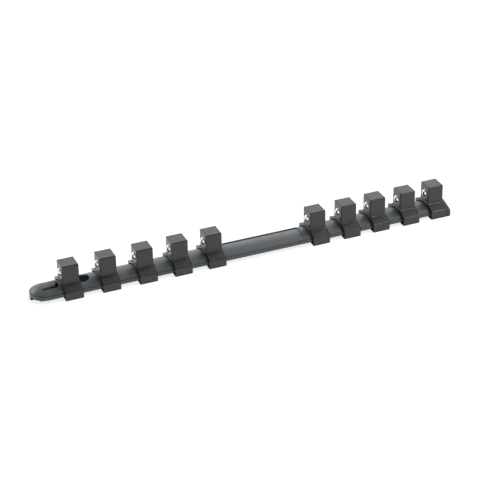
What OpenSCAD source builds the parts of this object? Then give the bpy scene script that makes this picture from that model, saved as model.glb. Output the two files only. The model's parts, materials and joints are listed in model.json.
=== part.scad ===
// Rail with ten sliding clips for half-inch drive sockets.
// Millimetres. X runs along the rail, +Z is up. The origin lies on the bench
// under the middle of the rail, so the clips' undersides are at z = 0.

/* [Rail] */
// Length from the round tip to the outside of the end plate
overall_len = 332.5; // [290:0.1:400]
// Height of the rail's ridge above the bench
ridge_z = 8.35; // [8:0.05:9]
// Radius of the domed top
dome_r = 18; // [16:0.5:22]
// Half width of the domed part
dome_half_w = 10.2; // [9.8:0.1:10.6]
// Half width over the two flanges
flange_half_w = 11.2; // [10.9:0.1:11.6]
// Top of the flanges
flange_top_z = 4.7; // [4.2:0.1:4.9]
// Underside of the rail
rail_under_z = 2.5; // [2.3:0.1:3.2]
// Thickness of the domed wall
rail_wall = 2.2; // [1.8:0.1:2.4]
// Half width of the hollow under the rail
hollow_half_w = 7.8; // [7:0.1:8.2]
// Thickness of the cross ribs under the rail
rib_t = 1.4; // [1:0.1:2]
// Spacing of the cross ribs
rib_pitch = 24; // [18:1:40]
// Gap between the ribs and the plane of the rail's underside
rib_recess = 0.6; // [0.4:0.1:1.2]

/* [Hanging hole] */
// Distance from the tip to the middle of the hanging hole
hang_dx = 39.6; // [37.5:0.1:43]
// Radius of the hanging hole
hang_r = 5; // [4:0.1:5.4]
// Wall of the boss round the hanging hole
boss_wall = 1.8; // [1.2:0.1:2]
// Height of the boss's lower end above the bench
boss_low_z = 1.4; // [1:0.1:2]

/* [Label recess] */
// Distance from the tip to the recess's left end
label_left_dx = 150.3; // [146:0.1:154]
// Distance from the end plate to the recess's right end
label_right_dx = 118.7; // [116:0.1:124]
// Half width of the label recess
label_half_w = 7.1; // [6:0.1:8]
// Depth of the label recess
label_depth = 0.75; // [0.4:0.05:1]

/* [Stop tongue] */
// Distance from the tip to the tongue's root
tongue_root_dx = 8.6; // [8:0.1:9.5]
// Length from the root to the free end
tongue_len = 10.8; // [9:0.1:11.6]
// Half width of the tongue
tongue_half_w = 3.3; // [3:0.1:4.2]
// Thickness of the tongue
tongue_t = 1.7; // [1.3:0.1:1.9]
// Angle that the tongue stands up at rest
tongue_lift = 8.5; // [5:0.5:9]
// Width of the slot beside the tongue
slot_w = 1.3; // [0.8:0.1:1.5]
// Gap past the tongue's free end
slot_end = 2; // [1.4:0.1:2.4]
// Thickness of the rim that hangs down round the slot
slot_rim_t = 1.2; // [0.8:0.1:1.6]
// Height of the rim's lower end above the bench
slot_rim_low_z = 1.4; // [1:0.1:2]
// Radius of the tongue's root knuckle
knuckle_r = 0.75; // [0.6:0.05:0.8]

/* [End plate] */
// Thickness of the end plate
plate_t = 2.7; // [2:0.1:3]
// Height of the end plate's peak above the rail's ridge
plate_rise = 0.65; // [0.4:0.05:0.9]
// Height of the end plate's shoulders
plate_shoulder_z = 5.5; // [5:0.1:6.4]
// Distance that the end plate's sides lie inside the clips' sides
plate_inset = 0.1; // [0:0.1:0.6]
// Radius of the end plate's shoulders
plate_shoulder_r = 1.6; // [1:0.1:2.4]
// Half width of the flat at the end plate's peak
plate_peak_half_w = 0.8; // [0.4:0.1:2]
// Bevel round the end plate's outer face
plate_bevel = 0.3; // [0.2:0.1:0.8]
// Length of the plug inside the rail
plug_len = 8; // [5:0.5:12]
// Wall of the plug
plug_wall = 1.6; // [1.2:0.1:2]

/* [Clip base] */
// Width of a clip's base along the rail
base_w = 13.46; // [12.9:0.02:13.8]
// Half depth of a clip's base across the rail
base_half_d = 13.5; // [13.2:0.1:14]
// Height of the crease between slope and side
crease_z = 6.4; // [6.2:0.1:7]
// Height of the slope where it would meet the post
foot_z = 9.75; // [9.6:0.05:10.4]
// Radius of the hollow curve at the post's foot
foot_r = 0.8; // [0.5:0.1:1.6]
// Radius of the crease
crease_r = 1; // [0.6:0.1:1.4]
// Half width of the gap between the two lips
lip_half_gap = 8; // [7.8:0.1:9]
// Running gap between a clip and the rail
rail_gap = 0.3; // [0.25:0.05:0.4]

/* [Drive post] */
// Side of the square post
post_w = 12.7; // [12.4:0.05:12.8]
// Height of the post's top above the bench
post_top_z = 24; // [22:0.1:26]
// Radius of the upright edges
post_edge_r = 0.8; // [0.3:0.1:1.6]
// Radius of the edges round the top
post_top_r = 0.7; // [0.3:0.1:1.2]

/* [Ball detent] */
// Height of the ball above the bench
ball_z = 17.1; // [16.8:0.1:18]
// Radius of the ball
ball_r = 3; // [2.5:0.05:3.1]
// Distance from the post's face in to the ball's centre
ball_inset = 1.1; // [1:0.05:1.3]
// Running gap between the ball and its bore
ball_gap = 0.06; // [0.05:0.01:0.1]
// Thickness of the turned-in lip that keeps the ball
keeper_t = 0.5; // [0.4:0.05:0.6]
// Wall left behind the bore
bore_end_wall = 1.8; // [1.4:0.1:2.5]
// Wire of the spring
wire_d = 0.5; // [0.4:0.05:0.6]
// Mean radius of the spring's turns
coil_r = 2; // [1.8:0.05:2.2]
// Number of turns
coil_turns = 5; // [4:1:5]

/* [Hidden] */
eps = 0.01;

tip_x = -overall_len / 2;
tip_cx = tip_x + flange_half_w;
rail_end_x = overall_len / 2 - plate_t;
dome_axis_z = ridge_z - dome_r;
plate_top_z = ridge_z + plate_rise;
plate_half_w = base_half_d - plate_inset;
hang_x = tip_x + hang_dx;
label_left_x = tip_x + label_left_dx;
label_len = rail_end_x - label_right_dx - label_left_x;

foot_depth = 3.3;
foot_half_w = 1.75;

tongue_root_x = tip_x + tongue_root_dx;
tongue_end_x = tongue_root_x + tongue_len;
tongue_corner_r = 1.7;
root_gap = 0.4;
knuckle_gap = 0.05;
// The knuckle's axis lies inside the wall of the rounded tip.
knuckle_drop = 0.3;
knuckle_z = ridge_z - rail_wall + knuckle_drop;

// Free gaps between neighbours, from the stop tongue and from the end plate inwards.
left_gaps = [3.3, 14.7, 14.7, 13.6, 13.2];
right_gaps = [0.3, 10.5, 11.9, 11, 12.1];
function far_side(gaps, k) = k < 0 ? 0 : far_side(gaps, k - 1) + gaps[k] + base_w;
clip_x = concat(
    [for (k = [0 : len(left_gaps) - 1]) tongue_end_x + far_side(left_gaps, k) - base_w / 2],
    [for (k = [len(right_gaps) - 1 : -1 : 0]) rail_end_x - far_side(right_gaps, k) + base_w / 2]
);
clip_n = len(clip_x);

pocket_top_z = flange_top_z + rail_gap;
lip_top_z = rail_under_z - rail_gap;
arch_r = dome_r + rail_gap;
arch_half_w = dome_half_w + rail_gap;
pocket_half_w = flange_half_w + rail_gap;
half_post = post_w / 2;
slope_angle = atan2(foot_z - crease_z, base_half_d - half_post);
// The hollow curve is tangent to the post and to the slope.
foot_reach = foot_r * tan((90 - slope_angle) / 2);
foot_cy = half_post + foot_r;
foot_cz = foot_z + foot_reach;
crease_reach = crease_r * tan((90 - slope_angle) / 2);
crease_cy = base_half_d - crease_r;
crease_cz = crease_z - crease_reach;
arc_steps = 10;

ball_cx = -half_post + ball_inset;
bore_r = ball_r + ball_gap;
bore_end_x = half_post - bore_end_wall;
keeper_r = sqrt(pow(ball_r, 2) - pow(ball_inset, 2)) + ball_gap;
keeper_in_r = sqrt(pow(ball_r, 2) - pow(ball_inset - keeper_t, 2)) + ball_gap;
wire_r = wire_d / 2;
coil_end_gap = 0.06;
coil_start_x = ball_cx + sqrt(pow(ball_r + wire_r, 2) - pow(coil_r, 2)) + coil_end_gap;
coil_end_x = bore_end_x - wire_r - coil_end_gap;
coil_pitch = (coil_end_x - coil_start_x) / coil_turns;
rings_per_turn = 8;
wire_sides = 6;
coil_rings = coil_turns * rings_per_turn;

rail_color = [0.27, 0.29, 0.3];
clip_color = [0.26, 0.26, 0.26];
steel_color = [0.8, 0.8, 0.82];

// ---- rail ----

// Domed body with a round tip, grown by d all over, up to x1.
module domed_bar(d, half_w, z0, x1) {
    r = dome_r + d;
    intersection() {
        translate([tip_cx, 0, dome_axis_z])
            rotate([0, 90, 0])
                cylinder(r = r, h = x1 - tip_cx, $fn = 120);
        translate([tip_cx, -half_w, z0])
            cube([x1 - tip_cx, 2 * half_w, dome_r]);
    }
    intersection() {
        translate([tip_cx, 0, dome_axis_z])
            sphere(r = r, $fn = 120);
        translate([tip_cx, 0, z0])
            cylinder(r = half_w, h = dome_r, $fn = 96);
    }
}

module flange_plate() {
    h = flange_top_z - rail_under_z;
    translate([tip_cx, -flange_half_w, rail_under_z])
        cube([rail_end_x - tip_cx, 2 * flange_half_w, h]);
    translate([tip_cx, 0, rail_under_z])
        cylinder(r = flange_half_w, h = h, $fn = 96);
}

// Short foot that holds the tip level with the clips' undersides.
module tip_foot() {
    intersection() {
        translate([tip_cx, 0, 0])
            cylinder(r = flange_half_w, h = flange_top_z, $fn = 96);
        translate([tip_x, -foot_half_w, 0])
            cube([foot_depth, 2 * foot_half_w, flange_top_z]);
    }
}

// Plan of the tongue, grown by side and end, as an upright block.
module tongue_block(x0, side, end, z0, h) {
    half_w = tongue_half_w + side;
    x1 = tongue_end_x + end;
    r = tongue_corner_r + side;
    translate([x0, -half_w, z0])
        cube([x1 - r - x0, 2 * half_w, h]);
    translate([x0, -half_w + r, z0])
        cube([x1 - x0, 2 * (half_w - r), h]);
    for (s = [-1, 1])
        translate([x1 - r, s * (half_w - r), z0])
            cylinder(r = r, h = h, $fn = 48);
}

module knuckle(r, extra) {
    translate([tongue_root_x, 0, knuckle_z])
        rotate([90, 0, 0])
            cylinder(r = r, h = 2 * (tongue_half_w + extra), center = true, $fn = 48);
}

// Recess of even depth under the label, following the dome.
module label_recess() {
    difference() {
        translate([label_left_x, -label_half_w, rail_under_z + rail_wall])
            cube([label_len, 2 * label_half_w, dome_r]);
        translate([label_left_x - 1, 0, dome_axis_z])
            rotate([0, 90, 0])
                cylinder(r = dome_r - label_depth, h = label_len + 2, $fn = 120);
    }
}

module cross_rib(x) {
    z0 = rail_under_z + rib_recess;
    translate([x - rib_t / 2, -hollow_half_w - eps, z0])
        cube([rib_t, 2 * (hollow_half_w + eps), ridge_z - rail_wall / 2 - z0]);
}

module ribs() {
    first = hang_x + hang_r + boss_wall + rib_pitch / 2;
    last = rail_end_x - plug_len - rib_pitch / 4;
    intersection() {
        domed_bar(-rail_wall / 2, hollow_half_w + eps, rail_under_z, rail_end_x);
        for (x = [first : rib_pitch : last])
            cross_rib(x);
    }
}

module hang_boss() {
    intersection() {
        domed_bar(-rail_wall / 2, hollow_half_w + 1, boss_low_z, rail_end_x);
        translate([hang_x, 0, boss_low_z])
            cylinder(r = hang_r + boss_wall, h = ridge_z, $fn = 72);
    }
}

module slot_rim() {
    intersection() {
        domed_bar(-rail_wall / 2, hollow_half_w + eps, slot_rim_low_z, rail_end_x);
        tongue_block(tongue_root_x, slot_w + slot_rim_t, slot_end + slot_rim_t, slot_rim_low_z, ridge_z);
    }
}

module rail() {
    color(rail_color)
    difference() {
        union() {
            difference() {
                union() {
                    domed_bar(0, dome_half_w, rail_under_z, rail_end_x);
                    flange_plate();
                    tip_foot();
                }
                domed_bar(-rail_wall, hollow_half_w, -1, rail_end_x + 1);
            }
            ribs();
            hang_boss();
            slot_rim();
        }
        translate([hang_x, 0, -eps])
            cylinder(r = hang_r, h = ridge_z + 1, $fn = 96);
        label_recess();
        tongue_block(tongue_root_x, slot_w, slot_end, -1, ridge_z + 2);
        knuckle(knuckle_r + knuckle_gap, slot_w);
    }
}

// ---- stop tongue ----

// The tongue lying flat, as the piece of the wall that its slot cuts free.
module flat_tongue() {
    intersection() {
        difference() {
            domed_bar(0, dome_half_w, 0, tongue_end_x);
            domed_bar(-tongue_t, dome_half_w, -1, tongue_end_x + 1);
        }
        tongue_block(tongue_root_x + root_gap, 0, 0, 0, ridge_z + 1);
    }
    // The root narrows into the knuckle.
    translate([tongue_root_x, -tongue_half_w, knuckle_z - knuckle_r / 2])
        cube([root_gap + 1, 2 * tongue_half_w, knuckle_r]);
    knuckle(knuckle_r, 0);
}

module stop_tongue() {
    color(rail_color)
    translate([tongue_root_x, 0, knuckle_z])
        rotate([0, -tongue_lift, 0])
            translate([-tongue_root_x, 0, -knuckle_z])
                flat_tongue();
}

// ---- end plate ----

// Points of an arc about (cy, cz), from angle a to angle b.
function arc(cy, cz, r, a, b) =
    [for (k = [0 : arc_steps]) let (t = a + (b - a) * k / arc_steps) [cy + r * cos(t), cz + r * sin(t)]];

function mirrored(pts) =
    concat(pts, [for (k = [len(pts) - 1 : -1 : 0]) [-pts[k][0], pts[k][1]]]);

// Right half of the end plate's outline, drawn in by d.
function plate_half(d) =
    let (
        w = plate_half_w - d,
        r = plate_shoulder_r,
        tilt = atan2(plate_top_z - plate_shoulder_z, plate_half_w)
    )
    concat(
        [[w, 0]],
        arc(w - r, plate_shoulder_z - d - r * tan((90 - tilt) / 2), r, 0, 90 - tilt),
        [[plate_peak_half_w, plate_top_z - d]]
    );

module plate_slice(x, t, d) {
    translate([x, 0, 0])
        rotate([90, 0, 90])
            linear_extrude(height = t)
                polygon(mirrored(plate_half(d)));
}

// Open-bottomed plug that fills the rail's hollow behind the end plate.
module plug() {
    x0 = rail_end_x - plug_len;
    x1 = rail_end_x + plate_t / 2;
    inner_half_w = hollow_half_w - plug_wall;
    difference() {
        intersection() {
            domed_bar(-rail_wall, hollow_half_w, rail_under_z, x1);
            translate([x0, -hollow_half_w, 0])
                cube([x1 - x0, 2 * hollow_half_w, ridge_z]);
        }
        translate([x0 - 1, -inner_half_w, 0])
            cube([plug_len - plug_wall + 1, 2 * inner_half_w, ridge_z - rail_wall - plug_wall]);
    }
}

module end_plate() {
    color(clip_color) {
        hull() {
            plate_slice(rail_end_x, plate_t - plate_bevel, 0);
            plate_slice(rail_end_x, plate_t, plate_bevel);
        }
        plug();
    }
}

// ---- clips ----

// Right half of a clip base's outline, from the bench up to the post's foot.
function base_half() =
    concat(
        [[base_half_d, 0]],
        arc(crease_cy, crease_cz, crease_r, 0, 90 - slope_angle),
        arc(foot_cy, foot_cz, foot_r, 270 - slope_angle, 180)
    );

module base_body() {
    translate([-base_w / 2, 0, 0])
        rotate([90, 0, 90])
            linear_extrude(height = base_w)
                polygon(mirrored(base_half()));
}

// Space inside a clip for the rail, with the running gap.
module rail_channel() {
    len = base_w + 2;
    intersection() {
        translate([-len / 2, 0, dome_axis_z])
            rotate([0, 90, 0])
                cylinder(r = arch_r, h = len, $fn = 120);
        translate([-len / 2, -arch_half_w, lip_top_z])
            cube([len, 2 * arch_half_w, dome_r]);
    }
    translate([-len / 2, -pocket_half_w, lip_top_z])
        cube([len, 2 * pocket_half_w, pocket_top_z - lip_top_z]);
    translate([-len / 2, -lip_half_gap, -1])
        cube([len, 2 * lip_half_gap, lip_top_z + 2]);
}

// Square bar with round upright edges.
module rounded_bar(w, r, z0, z1) {
    h = z1 - z0;
    translate([-w / 2 + r, -w / 2, z0])
        cube([w - 2 * r, w, h]);
    translate([-w / 2, -w / 2 + r, z0])
        cube([w, w - 2 * r, h]);
    for (sx = [-1, 1], sy = [-1, 1])
        translate([sx * (w / 2 - r), sy * (w / 2 - r), z0])
            cylinder(r = r, h = h, $fn = 48);
}

// Slab across the post's width whose two upper edges are round.
module round_topped_slab(w, r, z0, z1) {
    translate([-w / 2 - 1, -w / 2, z0])
        cube([w + 2, w, z1 - r - z0]);
    translate([-w / 2 - 1, -w / 2 + r, z0])
        cube([w + 2, w - 2 * r, z1 - z0]);
    for (s = [-1, 1])
        translate([0, s * (w / 2 - r), z1 - r])
            rotate([0, 90, 0])
                cylinder(r = r, h = w + 2, center = true, $fn = 48);
}

module post() {
    z0 = ridge_z + rail_gap;
    intersection() {
        rounded_bar(post_w, post_edge_r, z0, post_top_z);
        round_topped_slab(post_w, post_top_r, z0 - 1, post_top_z);
        rotate([0, 0, 90])
            round_topped_slab(post_w, post_top_r, z0 - 1, post_top_z);
    }
}

// Blind bore for the ball and spring, narrowed at the mouth to keep the ball.
module detent_bore() {
    translate([-half_post, 0, ball_z])
        rotate([0, 90, 0]) {
            translate([0, 0, -1])
                cylinder(r = keeper_r, h = 1 + eps, $fn = 64);
            cylinder(r1 = keeper_r, r2 = keeper_in_r, h = keeper_t + eps, $fn = 64);
            translate([0, 0, keeper_t])
                cylinder(r = bore_r, h = bore_end_x + half_post - keeper_t, $fn = 64);
        }
}

module clip() {
    color(clip_color)
    difference() {
        union() {
            base_body();
            post();
        }
        rail_channel();
        detent_bore();
    }
}

module detent_ball() {
    color(steel_color)
    translate([ball_cx, 0, ball_z])
        sphere(r = ball_r, $fn = 64);
}

// Centre of the wire at turn u, counted from the ball.
function coil_point(u) =
    [coil_start_x + coil_pitch * u, coil_r * cos(360 * u), coil_r * sin(360 * u)];

// Ring of points round the wire at turn u, square to the coil's circle.
function wire_ring(u) =
    [for (k = [0 : wire_sides - 1])
        let (t = 360 * k / wire_sides, rr = coil_r + wire_r * cos(t))
        [coil_start_x + coil_pitch * u + wire_r * sin(t), rr * cos(360 * u), rr * sin(360 * u)]];

function coil_points() =
    [for (j = [0 : coil_rings]) each wire_ring(j / rings_per_turn)];

function coil_sides() =
    [for (j = [0 : coil_rings - 1], k = [0 : wire_sides - 1])
        let (
            a = j * wire_sides + k,
            b = j * wire_sides + (k + 1) % wire_sides
        )
        each [[a, b, b + wire_sides], [a, b + wire_sides, a + wire_sides]]];

function coil_ends() =
    let (last = coil_rings * wire_sides)
    concat(
        [for (k = [1 : wire_sides - 2]) [0, k + 1, k]],
        [for (k = [1 : wire_sides - 2]) [last, last + k, last + k + 1]]
    );

module detent_spring() {
    color(steel_color)
    translate([0, 0, ball_z])
        polyhedron(points = coil_points(), faces = concat(coil_sides(), coil_ends()));
}

// Least gap of the spring to itself, measured between neighbouring turns.
coil_self_gap = min([for (j = [0 : coil_rings - rings_per_turn])
    norm(coil_point(j / rings_per_turn) - coil_point(j / rings_per_turn + 1)) - wire_d]);
echo(coil_self_gap = coil_self_gap);

rail();
stop_tongue();
end_plate();
for (i = [1 : clip_n])
    translate([clip_x[i - 1], 0, 0]) {
        clip();
        detent_ball();
        detent_spring();
    }
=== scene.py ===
import json
import math

import bpy
from mathutils import Matrix, Vector


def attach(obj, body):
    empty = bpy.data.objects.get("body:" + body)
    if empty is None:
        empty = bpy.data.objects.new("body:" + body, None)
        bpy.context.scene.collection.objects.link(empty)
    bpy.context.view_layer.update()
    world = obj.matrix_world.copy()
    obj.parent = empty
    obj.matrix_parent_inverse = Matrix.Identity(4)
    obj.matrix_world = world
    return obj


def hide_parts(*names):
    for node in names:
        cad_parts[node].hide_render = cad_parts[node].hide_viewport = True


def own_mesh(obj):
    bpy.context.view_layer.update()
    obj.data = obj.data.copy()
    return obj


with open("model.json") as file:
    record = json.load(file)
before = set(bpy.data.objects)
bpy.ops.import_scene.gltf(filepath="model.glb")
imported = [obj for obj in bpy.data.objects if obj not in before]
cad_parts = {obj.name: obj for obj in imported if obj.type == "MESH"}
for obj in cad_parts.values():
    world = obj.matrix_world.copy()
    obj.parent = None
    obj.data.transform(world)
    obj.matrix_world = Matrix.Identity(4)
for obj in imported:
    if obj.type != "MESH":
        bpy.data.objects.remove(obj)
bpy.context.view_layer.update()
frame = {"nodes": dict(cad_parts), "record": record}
nodes = frame["nodes"]


# ---- camera, at the photograph's place and angle ----

IMAGE_WIDTH_PX = 480
FOCAL_LENGTH_PX = 1745.8
SENSOR_WIDTH_MM = 36.0
CAMERA_PLACE = Vector((-0.42775, -1.0471, 0.6449))
CAMERA_AZIMUTH = math.radians(22.05)
CAMERA_ELEVATION = math.radians(29.30)
CAMERA_ROLL = math.radians(-1.13)


def make_camera():
    data = bpy.data.cameras.new("camera")
    data.sensor_width = SENSOR_WIDTH_MM
    data.lens = FOCAL_LENGTH_PX / IMAGE_WIDTH_PX * SENSOR_WIDTH_MM
    back = Vector((
        -math.sin(CAMERA_AZIMUTH) * math.cos(CAMERA_ELEVATION),
        -math.cos(CAMERA_AZIMUTH) * math.cos(CAMERA_ELEVATION),
        math.sin(CAMERA_ELEVATION),
    ))
    right = Vector((math.cos(CAMERA_AZIMUTH), -math.sin(CAMERA_AZIMUTH), 0))
    turn = Matrix((right, back.cross(right), back)).transposed().to_4x4()
    roll = Matrix.Rotation(CAMERA_ROLL, 4, "Z")
    camera = bpy.data.objects.new("camera", data)
    camera.matrix_world = Matrix.Translation(CAMERA_PLACE) @ turn @ roll
    bpy.context.scene.collection.objects.link(camera)
    bpy.context.scene.camera = camera


# ---- parts of node trees ----

def ranged(tree, value, source, target, smooth=False):
    """Maps a value from the source range to the target range, and no further."""
    node = tree.nodes.new("ShaderNodeMapRange")
    node.interpolation_type = "SMOOTHSTEP" if smooth else "LINEAR"
    node.inputs["From Min"].default_value, node.inputs["From Max"].default_value = source
    node.inputs["To Min"].default_value, node.inputs["To Max"].default_value = target
    tree.links.new(value, node.inputs["Value"])
    return node.outputs["Result"]


def joined(tree, operation, values):
    """All the values as one, by a Math node between each and the next."""
    total = values[0]
    for value in values[1:]:
        node = tree.nodes.new("ShaderNodeMath")
        node.operation = operation
        tree.links.new(total, node.inputs[0])
        tree.links.new(value, node.inputs[1])
        total = node.outputs[0]
    return total


def any_ray(tree, *kinds):
    """1 for a ray of one of Light Path's kinds, and 0 for any other."""
    path = tree.nodes.new("ShaderNodeLightPath")
    return joined(tree, "MAXIMUM", [path.outputs[kind] for kind in kinds])


# ---- light, floor and background ----

WHITE = (1, 1, 1, 1)

# The world lights diffuse surfaces evenly. Seen or mirrored it is white, apart from two dim
# parts, one overhead and one above the front.
WORLD_LIT = 0.34
# Each dim part's middle, the cosines from it at which the dimming starts and is full, and the
# share of white that is left there
DIM_PARTS = (
    (Vector((-0.3, -0.1, 0.95)).normalized(), (0.55, 0.95), 0.25),
    (Vector((-0.1, -0.75, 0.65)).normalized(), (0.76, 0.9), 0.3),
)

FLOOR_SIZE = 6.0
FLOOR_WHITE = 0.35
FLOOR_GLOW = 0.8
# The glow is left out of a painted shade under the part. Half length and half width of that
# painted shade, where the floor is seen and where it is mirrored in the part's sides, and its
# soft border's width.
SEEN_PAINTED_SHADE = (0.159, 0.0055)
MIRRORED_PAINTED_SHADE = (0.166, 0.0125)
PAINTED_SHADE_BORDER = 0.002

# name, place, size (m), power (W), mirrored
LAMPS = (
    ("top_lamp", (0.55, 0.2, 1.25), 0.6, 10.0, False),
    ("side_lamp", (0.41, -0.28, 0.49), 0.16, 0.8, True),
    ("back_lamp", (0.5, 1.3, 0.75), 1.1, 1.5, True),
    ("fill_lamp", (-0.7, -0.9, 0.9), 0.9, 0.8, True),
    ("rear_lamp", (-0.85, 1.6, 0.8), 0.7, 4.0, True),
)


def sky_strength(tree):
    """Strength of the seen and mirrored world by direction: 1 is white."""
    direction = tree.nodes.new("ShaderNodeTexCoord").outputs["Generated"]
    shares = []
    for middle, cosines, share in DIM_PARTS:
        near = tree.nodes.new("ShaderNodeVectorMath")
        near.operation = "DOT_PRODUCT"
        near.inputs[1].default_value = middle
        tree.links.new(direction, near.inputs[0])
        shares.append(ranged(tree, near.outputs["Value"], cosines, (1.0, share), smooth=True))
    return joined(tree, "MULTIPLY", shares)


def make_world():
    world = bpy.data.worlds.new("studio")
    world.use_nodes = True
    tree = world.node_tree
    tree.nodes.clear()
    lit = tree.nodes.new("ShaderNodeBackground")
    lit.inputs["Color"].default_value = WHITE
    lit.inputs["Strength"].default_value = WORLD_LIT
    seen = tree.nodes.new("ShaderNodeBackground")
    seen.inputs["Color"].default_value = WHITE
    tree.links.new(sky_strength(tree), seen.inputs["Strength"])
    mix = tree.nodes.new("ShaderNodeMixShader")
    rays = any_ray(tree, "Is Camera Ray", "Is Glossy Ray", "Is Transmission Ray")
    tree.links.new(rays, mix.inputs[0])
    tree.links.new(lit.outputs[0], mix.inputs[1])
    tree.links.new(seen.outputs[0], mix.inputs[2])
    out = tree.nodes.new("ShaderNodeOutputWorld")
    tree.links.new(mix.outputs[0], out.inputs["Surface"])
    bpy.context.scene.world = world


def glow_outside_painted_shade(tree, shade):
    """Strength of the floor's glow by place: none in the painted shade rectangle."""
    sides = tree.nodes.new("ShaderNodeVectorMath")
    sides.operation = "ABSOLUTE"
    tree.links.new(tree.nodes.new("ShaderNodeTexCoord").outputs["Object"], sides.inputs[0])
    split = tree.nodes.new("ShaderNodeSeparateXYZ")
    tree.links.new(sides.outputs["Vector"], split.inputs[0])
    rises = [
        ranged(tree, split.outputs[axis], (edge, edge + PAINTED_SHADE_BORDER), (0.0, FLOOR_GLOW))
        for axis, edge in zip("XY", shade)
    ]
    return joined(tree, "MAXIMUM", rises)


def floor_material():
    """White paper: a diffuse sheet that glows where it is seen or mirrored, outside its painted
    shade.
    """
    material = bpy.data.materials.new("floor_paper")
    material.use_nodes = True
    tree = material.node_tree
    tree.nodes.clear()
    paper = tree.nodes.new("ShaderNodeBsdfDiffuse")
    paper.inputs["Color"].default_value = (FLOOR_WHITE, FLOOR_WHITE, FLOOR_WHITE, 1)
    # Painted shade: the glow is taken away in fixed rectangles under the part, where the floor is
    # seen and where it is mirrored.
    seen = [any_ray(tree, "Is Camera Ray"), glow_outside_painted_shade(tree, SEEN_PAINTED_SHADE)]
    mirrored = [
        any_ray(tree, "Is Glossy Ray", "Is Transmission Ray"),
        glow_outside_painted_shade(tree, MIRRORED_PAINTED_SHADE),
    ]
    strengths = [joined(tree, "MULTIPLY", pair) for pair in (seen, mirrored)]
    glow = tree.nodes.new("ShaderNodeEmission")
    tree.links.new(joined(tree, "ADD", strengths), glow.inputs["Strength"])
    both = tree.nodes.new("ShaderNodeAddShader")
    tree.links.new(paper.outputs[0], both.inputs[0])
    tree.links.new(glow.outputs[0], both.inputs[1])
    out = tree.nodes.new("ShaderNodeOutputMaterial")
    tree.links.new(both.outputs[0], out.inputs["Surface"])
    return material


def make_floor():
    half = FLOOR_SIZE / 2
    mesh = bpy.data.meshes.new("floor")
    corners = [(-half, -half, 0), (half, -half, 0), (half, half, 0), (-half, half, 0)]
    mesh.from_pydata(corners, [], [(0, 1, 2, 3)])
    mesh.materials.append(floor_material())
    floor = bpy.data.objects.new("floor", mesh)
    bpy.context.scene.collection.objects.link(floor)


def make_lamps():
    """Round lamps that face the middle of the part."""
    for name, place, size, power, mirrored in LAMPS:
        data = bpy.data.lights.new(name, "AREA")
        data.shape = "DISK"
        data.size = size
        data.energy = power
        lamp = bpy.data.objects.new(name, data)
        lamp.location = place
        lamp.visible_glossy = mirrored
        lamp.rotation_euler = Vector(place).to_track_quat("Z", "Y").to_euler()
        bpy.context.scene.collection.objects.link(lamp)


# ---- materials ----

# Grains to the metre in each noise
CLOUDS_PER_M = 45
SHEEN_PER_M = 160
GRAIN_PER_M = 2600
TINT_PER_M = 700
RUBS_PER_M = 1800
MARKS_PER_M = 3500
# The range that most of a noise's factor lies in
NOISE_RANGE = (0.3, 0.7)

GRAIN_HEIGHT = 0.00003
GRAIN_STRENGTH = 0.5
SHEEN_SPREAD = 0.04
EDGE_SAMPLES = 12
# Cosines between the rounded normal and the face's own at which the painted edge shade starts and
# is full
EDGE_COSINES = (1.0, 0.97)

CHROME_COLOURS = ((0.78, 0.79, 0.8), (0.86, 0.865, 0.87))
CHROME_ROUGHNESS = (0.05, 0.11)
WIRE_COLOURS = ((0.3, 0.31, 0.32), (0.46, 0.47, 0.48))
WIRE_ROUGHNESS = (0.22, 0.36)


class Finish:
    """A material under construction: a Principled shader and helpers to feed its sockets."""

    def __init__(self, name):
        self.material = bpy.data.materials.new(name)
        self.material.use_nodes = True
        self.tree = self.material.node_tree
        self.shader = self.tree.nodes["Principled BSDF"]
        self.place = self.add("ShaderNodeTexCoord").outputs["Object"]

    def add(self, kind, **inputs):
        node = self.tree.nodes.new(kind)
        for name, value in inputs.items():
            node.inputs[name].default_value = value
        return node

    def link(self, output, socket):
        self.tree.links.new(output, socket)

    def feed(self, output, name):
        """Links an output to one of the shader's own sockets."""
        self.link(output, self.shader.inputs[name])

    def noise(self, grains_per_m, detail=2.0, roughness=0.5, stretch=(1, 1, 1)):
        """Noise in the node's own space, finer by stretch along each axis."""
        mapping = self.add("ShaderNodeMapping", Scale=stretch)
        self.link(self.place, mapping.inputs["Vector"])
        noise = self.add(
            "ShaderNodeTexNoise", Scale=grains_per_m, Detail=detail, Roughness=roughness)
        self.link(mapping.outputs[0], noise.inputs["Vector"])
        return noise.outputs["Fac"]

    def span(self, noise, low, high):
        """Spreads a noise over the numbers from low to high."""
        return ranged(self.tree, noise, NOISE_RANGE, (low, high))

    def mix(self, factor, *colours):
        """Blends from the first colour to the second, each a constant or an output."""
        node = self.add("ShaderNodeMix")
        node.data_type = "RGBA"
        self.link(factor, node.inputs["Factor"])
        for name, colour in zip("AB", colours):
            if isinstance(colour, tuple):
                node.inputs[name].default_value = (*colour, 1)
            else:
                self.link(colour, node.inputs[name])
        return node.outputs["Result"]

    def bump(self, height, distance, strength, normal):
        node = self.add("ShaderNodeBump", Strength=strength, Distance=distance)
        self.link(height, node.inputs["Height"])
        self.link(normal, node.inputs["Normal"])
        return node.outputs["Normal"]

    def soft_edges(self, radius):
        """Normals rounded over the model's edges, as a mould leaves them."""
        node = self.add("ShaderNodeBevel", Radius=radius)
        node.samples = EDGE_SAMPLES
        return node.outputs["Normal"]

    def edge_shade_mask(self, soft_normal):
        """From 0 on open faces to 1 at edges, where the rounded normal leaves the face's own: how
        much painted shade each place takes.
        """
        alike = self.add("ShaderNodeVectorMath")
        alike.operation = "DOT_PRODUCT"
        self.link(soft_normal, alike.inputs[0])
        self.link(self.add("ShaderNodeNewGeometry").outputs["Normal"], alike.inputs[1])
        return ranged(self.tree, alike.outputs["Value"], EDGE_COSINES, (0.0, 1.0))


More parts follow.
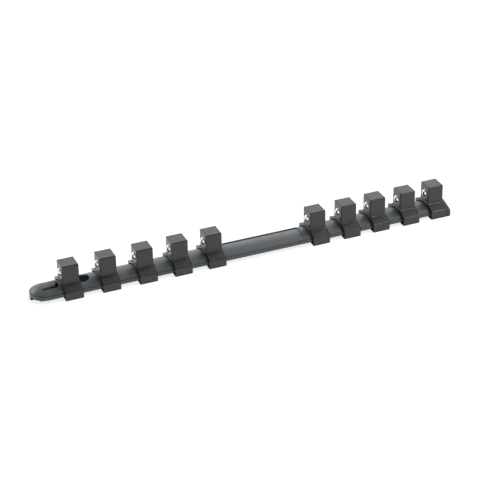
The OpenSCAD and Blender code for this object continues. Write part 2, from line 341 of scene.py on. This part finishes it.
def linear(value):
    """An sRGB channel from 0 to 255 as a linear number, by the standard's curve."""
    v = value / 255
    return v / 12.92 if v <= 0.04045 else ((v + 0.055) / 1.055) ** 2.4


def srgb(red, green, blue):
    return (linear(red), linear(green), linear(blue))


def moulded_plastic(name, dark, light, rough, ior, edge_radius, edge_shade_share):
    """Satin moulded plastic: faint clouds in its colour and sheen, and a fine grain.

    Its edges and creases, rounded by edge_radius, take painted shade: their colour is darkened to
    a share of the dark colour set by the last argument.
    """
    f = Finish(name)
    f.shader.inputs["IOR"].default_value = ior
    soft = f.soft_edges(edge_radius)
    clouds = f.mix(f.span(f.noise(CLOUDS_PER_M, detail=3), 0, 1), dark, light)
    # Painted shade: the colour is darkened along edges and creases, where shade and dark
    # reflections fall.
    painted_edge_shade = tuple(edge_shade_share * v for v in dark)
    f.feed(f.mix(f.edge_shade_mask(soft), clouds, painted_edge_shade), "Base Color")
    sheen = f.noise(SHEEN_PER_M, detail=4)
    f.feed(f.span(sheen, rough - SHEEN_SPREAD, rough + SHEEN_SPREAD), "Roughness")
    grain = f.noise(GRAIN_PER_M, detail=2, roughness=0.6)
    f.feed(f.bump(grain, GRAIN_HEIGHT, GRAIN_STRENGTH, soft), "Normal")
    return f.material


def polished_chrome(name):
    """Bright chrome with hair-thin rub marks in its sheen."""
    f = Finish(name)
    f.shader.inputs["Metallic"].default_value = 1.0
    f.feed(f.mix(f.span(f.noise(TINT_PER_M), 0, 1), *CHROME_COLOURS), "Base Color")
    rubs = f.noise(RUBS_PER_M, detail=4, stretch=(1, 1, 6))
    f.feed(f.span(rubs, *CHROME_ROUGHNESS), "Roughness")
    return f.material


def drawn_wire(name):
    """Bright spring wire with fine draw marks."""
    f = Finish(name)
    f.shader.inputs["Metallic"].default_value = 1.0
    marks = f.noise(MARKS_PER_M, detail=3, stretch=(1, 4, 4))
    f.feed(f.mix(f.span(marks, 0, 1), *WIRE_COLOURS), "Base Color")
    f.feed(f.span(marks, *WIRE_ROUGHNESS), "Roughness")
    return f.material


def make_materials():
    """The finish for each material slot of the record."""
    return {
        "rail_plastic": moulded_plastic(
            "rail_plastic", dark=srgb(74, 80, 83), light=srgb(80, 86, 89),
            rough=0.33, ior=1.6, edge_radius=0.0004, edge_shade_share=0.7),
        "clip_plastic": moulded_plastic(
            "clip_plastic", dark=srgb(44, 45, 43), light=srgb(49, 50, 48),
            rough=0.24, ior=1.55, edge_radius=0.0011, edge_shade_share=0.1),
        "ball_chrome": polished_chrome("ball_chrome"),
        "spring_steel": drawn_wire("spring_steel"),
    }


def dress_nodes(materials):
    """Each node's slots take the finish that the record names."""
    slot_of = {part["node"]: part["material_slot"] for part in frame["record"]["subparts"]}
    for name, obj in nodes.items():
        for slot in obj.material_slots:
            slot.material = materials[slot_of[name]]


# ---- coils in place of the springs, riding on their clips ----

def make_coils(material):
    """A coil of each CAD spring's form, which rides on its clip in place of the spring."""
    for spring in [name for name in nodes if name.startswith("detent_spring_")]:
        number = spring.rsplit("_", 1)[1]
        mesh = nodes[spring].data.copy()
        mesh.name = f"coil_{number}"
        mesh.materials.clear()
        mesh.materials.append(material)
        coil = bpy.data.objects.new(f"coil_{number}", mesh)
        bpy.context.scene.collection.objects.link(coil)
        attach(coil, f"clip_{number}")
        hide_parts(spring)
        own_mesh(coil)


make_camera()
make_world()
make_floor()
make_lamps()
finishes = make_materials()
dress_nodes(finishes)
make_coils(finishes["spring_steel"])
bpy.context.scene.view_settings.view_transform = "Standard"
